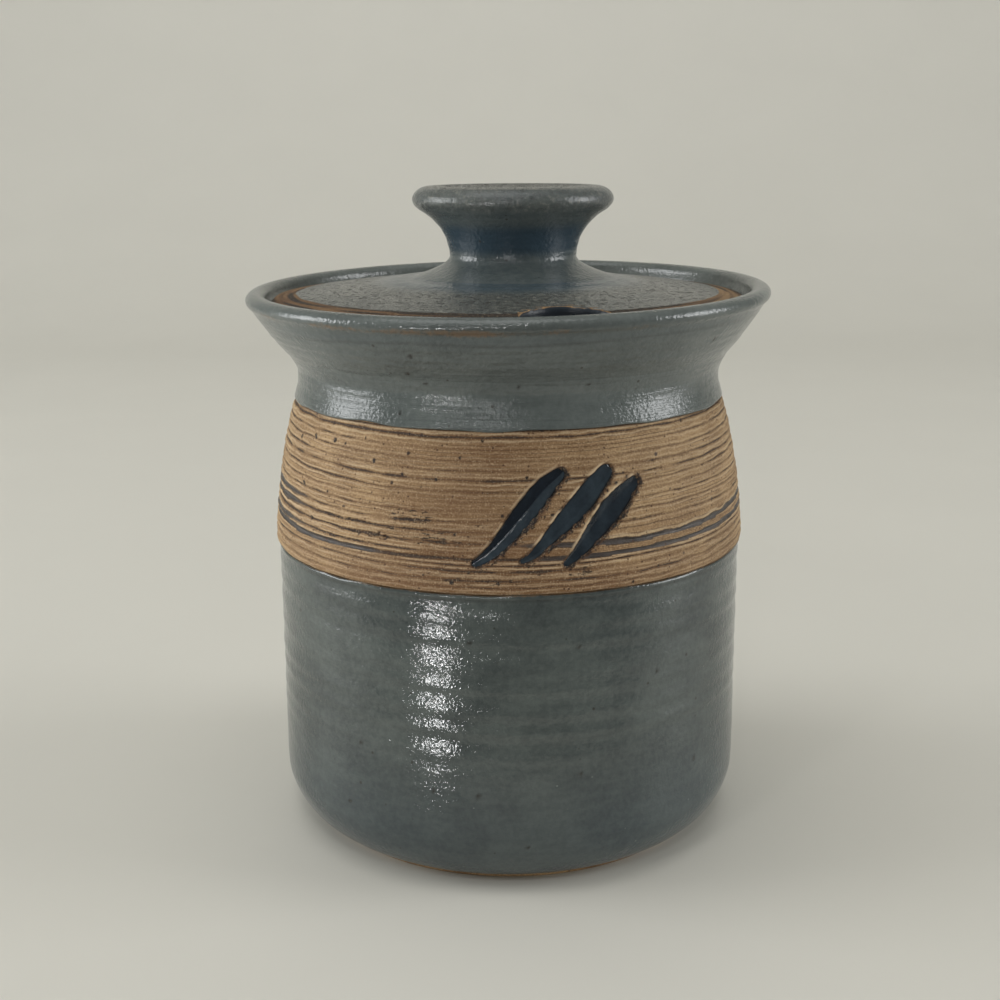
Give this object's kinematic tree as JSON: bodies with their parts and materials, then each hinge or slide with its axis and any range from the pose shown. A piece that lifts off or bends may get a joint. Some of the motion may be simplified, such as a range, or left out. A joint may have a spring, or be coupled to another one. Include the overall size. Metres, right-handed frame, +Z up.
{
  "type": "lidded pottery jar",
  "caption": "Wheel-thrown stoneware honey pot with a flared collar and a gallery, a bare clay band with cut strokes, and a knobbed lid with a round spoon notch.",
  "frame": {"origin": "middle of the foot, on the surface that the jar stands on", "axes": "+Z up along the jar's axis; the cut strokes in the band face -Y, and +X is to their right"},
  "size_m": [0.105, 0.105, 0.1304],
  "materials": {
    "bare_clay": "matte unglazed stoneware with iron specks",
    "grey_glaze": "satin grey-blue glaze that breaks brown over edges",
    "liner_glaze": "glossy grey-blue glaze",
    "dark_glaze": "glossy blue-black glaze"
  },
  "bodies": {
    "jar": {"jar_body": "bare_clay", "collar_glaze": "grey_glaze", "lower_glaze": "grey_glaze", "liner_glaze": "liner_glaze", "left_stroke_glaze": "dark_glaze", "middle_stroke_glaze": "dark_glaze", "right_stroke_glaze": "dark_glaze"},
    "lid": {"lid_disc": "bare_clay", "lid_knob": "bare_clay", "lid_glaze": "grey_glaze"}
  },
  "joints": [
    {"name": "lid_lift", "type": "slide", "parent": "jar", "child": "lid", "axis": [0, 0, 1], "range_m": [0, 0.06]}
  ]
}
